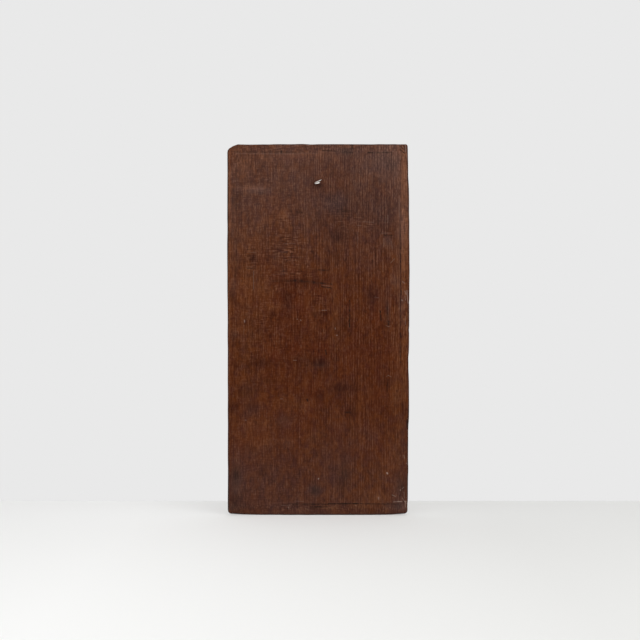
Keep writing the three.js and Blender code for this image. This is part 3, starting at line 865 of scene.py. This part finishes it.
class Shader:
    """A material's node tree, with a short way to add a node and join its inputs."""

    def __init__(self, name):
        self.material = bpy.data.materials.new(name)
        self.material.use_nodes = True
        self.tree = self.material.node_tree
        self.surface = self.tree.nodes["Principled BSDF"]
        self.coordinates = self.add("TexCoord", {}).outputs["Object"]

    def set(self, node, inputs):
        for name, value in inputs.items():
            if isinstance(value, bpy.types.NodeSocket):
                self.tree.links.new(value, node.inputs[name])
            else:
                node.inputs[name].default_value = value
        return node

    def add(self, kind, inputs, **settings):
        node = self.tree.nodes.new("ShaderNode" + kind)
        for name, value in settings.items():
            setattr(node, name, value)
        return self.set(node, inputs)

    def place(self, width, height, shift=0):
        """The place on the object, scaled so that a texture's lumps have this width and height."""
        scale = [1 / (size * MM) for size in (width, width, height)]
        inputs = {"Vector": self.coordinates, "Scale": scale, "Location": (shift, shift, shift)}
        return self.add("Mapping", inputs).outputs["Vector"]

    def noise(self, width, height, detail=2, shift=0):
        inputs = {"Vector": self.place(width, height, shift), "Scale": 1, "Detail": detail}
        return self.add("TexNoise", inputs).outputs["Fac"]

    def painted(self, name):
        return self.add("Attribute", {}, attribute_name=name).outputs["Fac"]

    def math(self, operation, first, second, clamp=False):
        return self.add("Math", {0: first, 1: second}, operation=operation, use_clamp=clamp).outputs[0]

    def times(self, first, second, clamp=False):
        return self.math("MULTIPLY", first, second, clamp)

    def centred(self, value):
        return self.math("SUBTRACT", value, 0.5)

    def total(self, weighted):
        """The sum of some values, each times its weight."""
        found = 0
        for value, weight in weighted:
            inputs = {0: value, 1: weight, 2: found}
            found = self.add("Math", inputs, operation="MULTIPLY_ADD").outputs[0]
        return found

    def remap(self, value, low, high, to_low=0, to_high=1):
        inputs = {"Value": value, "From Min": low, "From Max": high, "To Min": to_low, "To Max": to_high}
        return self.add("MapRange", inputs).outputs["Result"]

    def mix(self, share, first, second):
        return self.add("Mix", {0: share, 6: first, 7: second}, data_type="RGBA").outputs[2]

    def vector_math(self, operation, inputs, output=0):
        return self.add("VectorMath", inputs, operation=operation).outputs[output]

    def back_place(self):
        """Millimetres from the left edge and below the top, a little shaken so that lines waver."""
        middle = LINE_SHAKE / 2
        inputs = {0: self.coordinates, 1: (1 / MM, 0, -1 / MM), 2: (-left_x - middle, 0, top_z + middle)}
        flat = self.vector_math("MULTIPLY_ADD", inputs)
        inputs = {"Vector": self.place(3, 3), "Scale": 1, "Detail": 1}
        shake = self.add("TexNoise", inputs).outputs["Color"]
        return self.vector_math("MULTIPLY_ADD", {0: shake, 1: (LINE_SHAKE, 0, -LINE_SHAKE), 2: flat})

    def line(self, place, start, end, half_width):
        """1 along a straight line on the back, and 0 beyond its half width."""
        run = Vector((end[0] - start[0], 0, end[1] - start[1]))
        offset = self.vector_math("SUBTRACT", {0: place, 1: (start[0], 0, start[1])})
        along = self.vector_math("DOT_PRODUCT", {0: offset, 1: run / run.length_squared}, "Value")
        held = self.add("Clamp", {"Value": along}).outputs["Result"]
        nearest = self.vector_math("SCALE", {0: run, "Scale": held})
        aside = self.vector_math("DISTANCE", {0: offset, 1: nearest}, "Value")
        inputs = {"Value": aside, "From Min": half_width, "From Max": 0}
        return self.add("MapRange", inputs, interpolation_type="SMOOTHSTEP").outputs["Result"]

    def lines(self, place, table):
        """The strengths of a table of lines, added up, on the back only."""
        found = self.total(
            (self.line(place, (x0, z0), (x1, z1 - LEAST_LENGTH), half_width), strength)
            for x0, z0, x1, z1, half_width, strength in table
        )
        depth = self.add("SeparateXYZ", {0: self.coordinates}).outputs["Y"]
        on_back = self.remap(depth, (back_y + LINE_DEPTH) * MM, (back_y + LINE_DEPTH + 1) * MM, 1, 0)
        return self.times(found, on_back, clamp=True)

    def bump(self, height, strength, distance, normal=None):
        inputs = {"Height": height, "Strength": strength, "Distance": distance * MM}
        if normal is not None:
            inputs["Normal"] = normal
        return self.add("Bump", inputs).outputs["Normal"]

    def finish(self, colour, rough, inputs):
        self.set(self.surface, {"Base Color": colour, "Roughness": rough, **inputs})
        return self.material


# Colours of the materials, and sizes in the oak's grain
OAK_DARK = (0.03, 0.0058, 0.0012, 1)
OAK_MIDDLE = (0.0615, 0.0141, 0.0031, 1)
OAK_TAN = (0.113, 0.0335, 0.0094, 1)
OAK_RED = (0.072, 0.012, 0.002, 1)
OAK_ORANGE = (0.084, 0.0195, 0.0025, 1)
OAK_PLUM = (0.055, 0.014, 0.0075, 1)
OAK_TAWNY = (0.148, 0.06, 0.033, 1)
OAK_COOL = (0.043, 0.0185, 0.0175, 1)
OAK_DUSTY_AND_SHEEN = (0.148, 0.07, 0.047, 1)
OAK_DEEP = (0.022, 0.003, 0.0003, 1)
OAK_GRIME_AND_SHADE = (0.012, 0.006, 0.004, 1)
OAK_WORN_AND_HIGHLIT = (0.3, 0.135, 0.09, 1)
OAK_WORN_RED_AND_HIGHLIT = (0.28, 0.112, 0.042, 1)
OAK_SCRATCHED = (0.27, 0.185, 0.15, 1)
OAK_BLOOM_AND_SHEEN = (0.2, 0.15, 0.135, 1)
STEEL_BRIGHT = (0.93, 0.9, 0.86, 1)
STEEL_DULL = (0.42, 0.4, 0.37, 1)
FLOOR_PAINTED_LIGHT_LEFT = (0.9, 0.9, 0.895, 1)
FLOOR_PAINTED_SHADE_RIGHT = (0.75, 0.75, 0.74, 1)
SURROUND = (0.815, 0.815, 0.815, 1)
SURROUND_LIGHT = 0.5
RING_PITCH = 3.3
GRAIN_RANGE = 1.7


def oak():
    wood = Shader("aged_oak")
    long_streaks = wood.noise(1.25, 80, detail=3)
    streaks = wood.noise(1.2, 11, shift=9)
    flecks = wood.noise(1.4, 3.5, shift=13)
    bands = wood.noise(7, 320, shift=3)
    mottle = wood.noise(20, 34, detail=3, shift=7)
    blotches = wood.noise(7, 9, detail=3, shift=17)
    hues = wood.noise(9, 14, shift=33)
    cross = wood.noise(9, 2, shift=21)
    ripple = wood.noise(10, 1.7, detail=1, shift=31)
    pores = wood.noise(0.9, 7, detail=1, shift=11)
    wander = wood.noise(26, 200, detail=1, shift=5)
    clear = wood.noise(12, 30, detail=1, shift=27)

    across, _, up = wood.add("SeparateXYZ", {0: wood.coordinates}).outputs
    turns = wood.times(across, 2 * math.pi / (RING_PITCH * MM))
    rings = wood.math("SINE", wood.math("ADD", turns, wood.times(wander, 30)), 0)
    right_side = wood.remap(across, -0.04, 0.02, 0.35, 1)
    left_side = wood.remap(across, -0.03, 0.02, 1, 0.45)
    ring_strength = wood.times(right_side, wood.remap(clear, 0.35, 0.6, 0.25, 1))
    ring_strength = wood.times(ring_strength, wood.remap(up, -0.03, 0.04, 0.6, 1.05))
    rings = wood.math("SUBTRACT", 0.35, wood.math("POWER", wood.remap(rings, -1, 1), 3))
    rings = wood.times(rings, ring_strength)
    rough_side = wood.times(wood.centred(cross), left_side)
    cuts = wood.times(wood.centred(ripple), wood.painted("cut"))

    broad = wood.total((
        (wood.centred(long_streaks), 0.5), (wood.centred(bands), 0.5), (wood.centred(mottle), 0.65),
        (wood.centred(blotches), 1.35), (wood.centred(streaks), 0.3),
    ))
    colour = wood.mix(wood.remap(broad, -0.5, 0), OAK_DARK, OAK_MIDDLE)
    colour = wood.mix(wood.remap(broad, 0, 0.5), colour, OAK_TAN)
    colour = wood.mix(wood.remap(hues, 0.5, 0.3, 0, 0.9), colour, OAK_PLUM)
    colour = wood.mix(wood.remap(hues, 0.5, 0.7, 0, 0.9), colour, OAK_ORANGE)
    warm = wood.times(wood.painted("warm"), wood.remap(mottle, 0.25, 0.7, 0.3, 0.8))
    colour = wood.mix(warm, colour, OAK_RED)
    colour = wood.mix(wood.painted("cool"), colour, OAK_COOL)
    fine = wood.total((
        (wood.centred(long_streaks), 0.5), (wood.centred(streaks), 0.7), (wood.centred(flecks), 0.8),
        (rough_side, 0.7), (rings, 0.48), (cuts, 3.2),
    ))
    fine = wood.times(fine, wood.times(wood.painted("grain"), GRAIN_RANGE))
    colour = wood.mix(wood.remap(fine, 0, -0.6), colour, OAK_DEEP)
    # The grey veil turns the colour greyer: painted sheen over the upper back, grey bloom elsewhere
    haze_and_sheen = wood.painted("haze_and_sheen")
    colour = wood.mix(wood.remap(fine, 0, 0.6), colour, wood.mix(haze_and_sheen, OAK_TAWNY, OAK_DUSTY_AND_SHEEN))
    colour = wood.mix(wood.times(haze_and_sheen, 0.15), colour, OAK_BLOOM_AND_SHEEN)
    # Paler places: wear and pale patches, with painted highlight on the right bevel, the left arris and the
    # carved crests
    worn_and_highlit = wood.times(wood.painted("pale"), wood.remap(streaks, 0.3, 0.65, 0.35, 1.35))
    colour = wood.mix(worn_and_highlit, colour, wood.mix(haze_and_sheen, OAK_WORN_RED_AND_HIGHLIT, OAK_WORN_AND_HIGHLIT))
    pored = wood.times(wood.remap(pores, 0.6, 0.72), 0.5)
    colour = wood.mix(pored, colour, OAK_GRIME_AND_SHADE)
    # Dark paint: stains and dirt, with painted shade in the carved hollows and along the edges, and the
    # screw eye's painted shadow
    grime_and_shade = wood.times(wood.painted("dark"), wood.remap(streaks, 0.2, 0.7, 1, 0.6))
    colour = wood.mix(grime_and_shade, colour, wood.mix(haze_and_sheen, OAK_DEEP, OAK_GRIME_AND_SHADE))
    back_place = wood.back_place()
    broken = wood.remap(wood.noise(4, 4, shift=41), 0.35, 0.6, 0.35, 1.25)
    dark_lines = wood.times(wood.lines(back_place, DARK_LINES), broken, clamp=True)
    colour = wood.mix(dark_lines, colour, OAK_GRIME_AND_SHADE)
    colour = wood.mix(wood.lines(back_place, PALE_LINES), colour, OAK_SCRATCHED)

    rough = wood.remap(mottle, 0.3, 0.7, 0.5, 0.66)
    rough = wood.math("ADD", rough, wood.times(pored, 0.2), clamp=True)
    relief = wood.total((
        (rings, 0.3), (long_streaks, 0.8), (streaks, 0.8), (flecks, 0.8), (cuts, 2), (dark_lines, -1.2),
    ))
    normal = wood.bump(relief, 0.7, 0.2)
    normal = wood.bump(pores, 0.35, 0.12, normal)
    return wood.finish(colour, rough, {"Normal": normal, "Specular IOR Level": 0.06})


def plated_steel():
    steel = Shader("plated_steel")
    tarnish = steel.noise(1.6, 1.6, detail=3)
    scratches = steel.noise(0.25, 1.8, shift=4)
    colour = steel.mix(steel.remap(tarnish, 0.45, 0.75), STEEL_BRIGHT, STEEL_DULL)
    rough = steel.remap(scratches, 0.3, 0.7, 0.34, 0.5)
    normal = steel.bump(scratches, 0.2, 0.02)
    return steel.finish(colour, rough, {"Normal": normal, "Metallic": 1})


def floor_paint():
    paint = Shader("pale_floor")
    across = paint.add("SeparateXYZ", {0: paint.coordinates}).outputs["X"]
    # Painted light: the floor is lighter at the left and darker at the right, as light falls across it
    colour = paint.mix(paint.remap(across, -0.25, 0.25), FLOOR_PAINTED_LIGHT_LEFT, FLOOR_PAINTED_SHADE_RIGHT)
    return paint.finish(colour, 0.8, {})


# Surroundings

pixel_size = (top_z - foot_z) / BOARD_PIXELS_TALL
picture_width = PICTURE_PIXELS * pixel_size
camera_x = left_x + (PICTURE_PIXELS / 2 - BOARD_LEFT_PIXEL) * pixel_size
camera_y = back_y + RIM_BEHIND_BACK - CAMERA_DISTANCE
camera_z = top_z - (PICTURE_PIXELS / 2 - BOARD_TOP_PIXEL) * pixel_size


def camera():
    data = bpy.data.cameras.new("camera")
    data.sensor_width = SENSOR_WIDTH
    data.lens = SENSOR_WIDTH * CAMERA_DISTANCE / picture_width
    data.clip_start, data.clip_end = VIEW_RANGE
    place = (camera_x * MM, camera_y * MM, camera_z * MM)
    bpy.context.scene.camera = add_to_scene("camera", data, place, (math.radians(90), 0, 0))


def floor():
    """Flat up to a line behind the board and falling gently from there, so that the line shows."""
    drop_per_length = (FLOOR_LINE_PIXEL - PICTURE_PIXELS / 2) * pixel_size / CAMERA_DISTANCE
    line_y = camera_y + (camera_z - foot_z) / drop_per_length
    far_z = foot_z - FLOOR_FALL * (FLOOR_REACH - line_y)
    lip = (line_y + FLOOR_LIP["length"], foot_z - FLOOR_LIP["drop"])
    profile = [(-FLOOR_REACH, foot_z), (line_y, foot_z), lip, (FLOOR_REACH, far_z)]
    vertices = np.array([(side * FLOOR_REACH, y, z) for y, z in profile for side in (-1, 1)])
    faces = [(near, near + 1, near + 3, near + 2) for near in range(0, 2 * len(profile) - 2, 2)]
    made = make_object("floor", vertices, faces, floor_paint(), 1)


def area_light(name, place, size, power, colour):
    """A rectangle of soft light, turned to the board, that casts no shadow."""
    data = bpy.data.lights.new(name, "AREA")
    data.shape = "RECTANGLE"
    data.size, data.size_y = size
    data.energy = power
    data.color = colour
    data.use_shadow = False
    add_to_scene(name, data, place, (LIGHT_TARGET - Vector(place)).to_track_quat("-Z", "Y").to_euler())


def lights():
    area_light("overhead", (0.3, -1.1, 1.7), (2.6, 1.6), 35, (1, 1, 0.99))
    area_light("window", (1.6, -2.1, 0.7), (1.8, 1.8), 13, (1, 0.99, 0.97))
    area_light("fill", (-1.6, -2, 0.4), (1.8, 1.8), 10, (0.98, 0.99, 1))
    area_light("behind", (0.6, 2.4, 1.2), (2.4, 2), 16, (1, 1, 1))


def world():
    """A pale surround, brighter to the camera than the light it gives."""
    made = bpy.data.worlds.new("surround")
    made.use_nodes = True
    tree = made.node_tree
    background = tree.nodes["Background"]
    background.inputs["Color"].default_value = SURROUND
    path = tree.nodes.new("ShaderNodeLightPath")
    strength = tree.nodes.new("ShaderNodeMapRange")
    strength.inputs["To Min"].default_value = SURROUND_LIGHT
    tree.links.new(path.outputs["Is Camera Ray"], strength.inputs["Value"])
    tree.links.new(strength.outputs["Result"], background.inputs["Strength"])
    bpy.context.scene.world = made


bpy.context.scene.view_settings.view_transform = "Standard"
camera()
world()
lights()
floor()

board = oak_panel(oak())
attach(board, "root")
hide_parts("oak_panel")

eye = screw_eye(plated_steel())
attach(eye, "root")
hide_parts("screw_eye")
